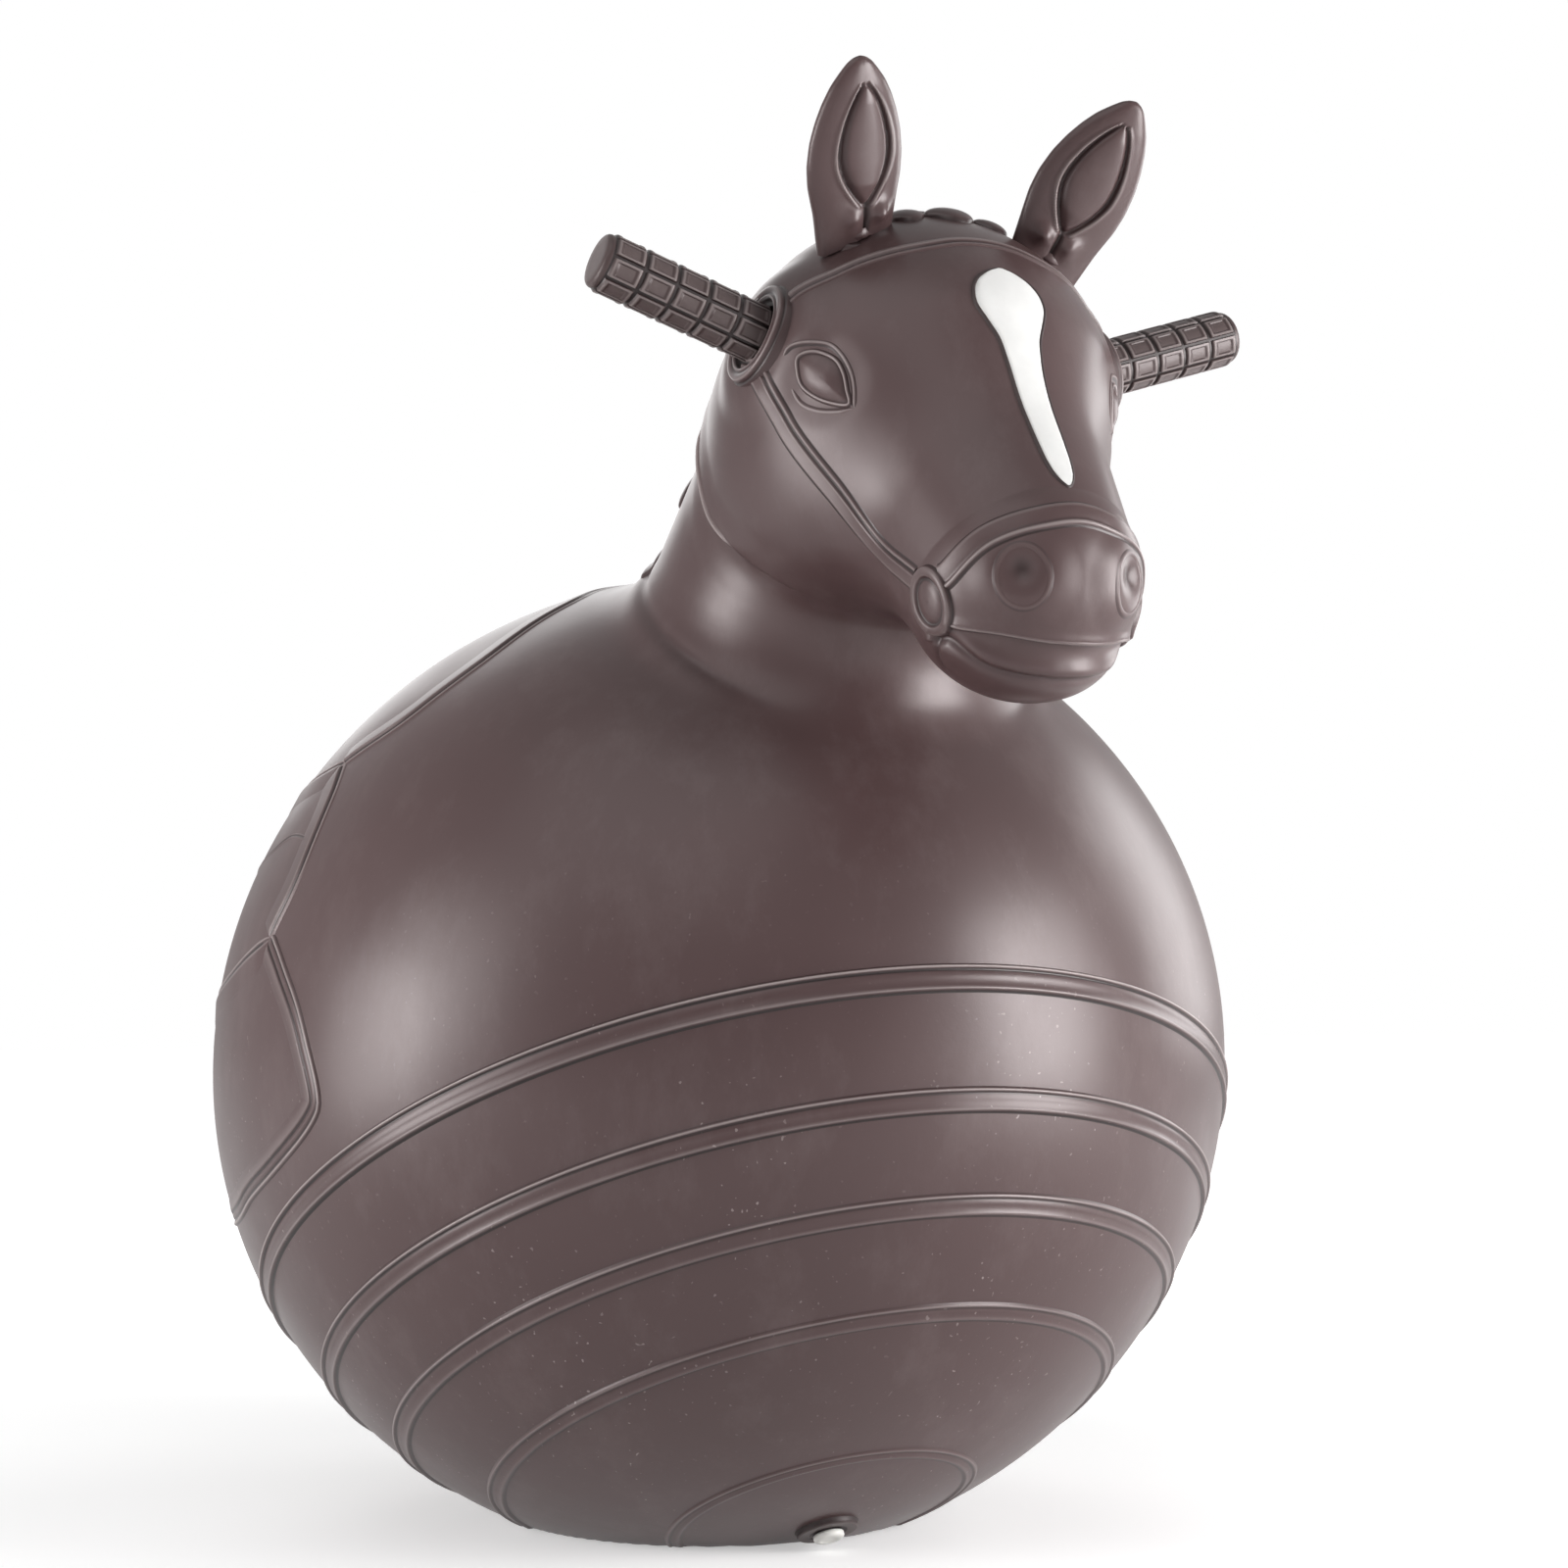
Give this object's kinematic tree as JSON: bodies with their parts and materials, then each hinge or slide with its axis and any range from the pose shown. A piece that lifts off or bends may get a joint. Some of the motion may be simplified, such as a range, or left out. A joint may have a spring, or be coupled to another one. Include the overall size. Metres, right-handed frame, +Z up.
{
  "type": "bouncy ride-on horse",
  "caption": "Inflatable hopper ball with a moulded horse head: hollow ribbed skin, waffle grip handles, plug-in ears, white blaze and an air valve with a pull-out plug.",
  "frame": {"origin": "on the floor directly below the centre of the ball, inside the flat patch it rests on", "axes": "+Z up, the horse faces -Y and its left side is +X"},
  "size_m": [0.5174, 0.6111, 0.6656],
  "materials": {
    "skin": "satin soft PVC",
    "white_film": "smooth",
    "grip": "satin, waffle relief",
    "core": "satin",
    "ear": "satin soft PVC",
    "valve_ring": "satin",
    "plug": "smooth"
  },
  "bodies": {
    "horse": {"body_skin": "skin", "head_skin": "skin", "forehead_blaze": "white_film", "valve_seat": "valve_ring"},
    "plug": {"valve_plug": "plug"},
    "left_handle": {"handle_core_left": "core", "grip_sleeve_left": "grip"},
    "right_handle": {"handle_core_right": "core", "grip_sleeve_right": "grip"},
    "left_ear": {"ear_left": "ear"},
    "right_ear": {"ear_right": "ear"}
  },
  "joints": [
    {"name": "plug_pull", "type": "slide", "parent": "horse", "child": "plug", "axis": [0, -0.4802, -0.8771], "range_m": [0, 0.018]},
    {"name": "left_handle_pull", "type": "slide", "parent": "horse", "child": "left_handle", "axis": [0.9511, 0, 0.309], "range_m": [0, 0.05]},
    {"name": "right_handle_pull", "type": "slide", "parent": "horse", "child": "right_handle", "axis": [-0.9511, 0, 0.309], "range_m": [0, 0.05]},
    {"name": "left_ear_twist", "type": "hinge", "parent": "horse", "child": "left_ear", "pos_m": [0.04909, -0.24298, 0.60076], "axis": [0.2593, -0.5585, 0.7879], "range_deg": [-30, 30]},
    {"name": "right_ear_twist", "type": "hinge", "parent": "horse", "child": "right_ear", "pos_m": [-0.04909, -0.24298, 0.60076], "axis": [-0.2593, -0.5585, 0.7879], "range_deg": [-30, 30]}
  ]
}
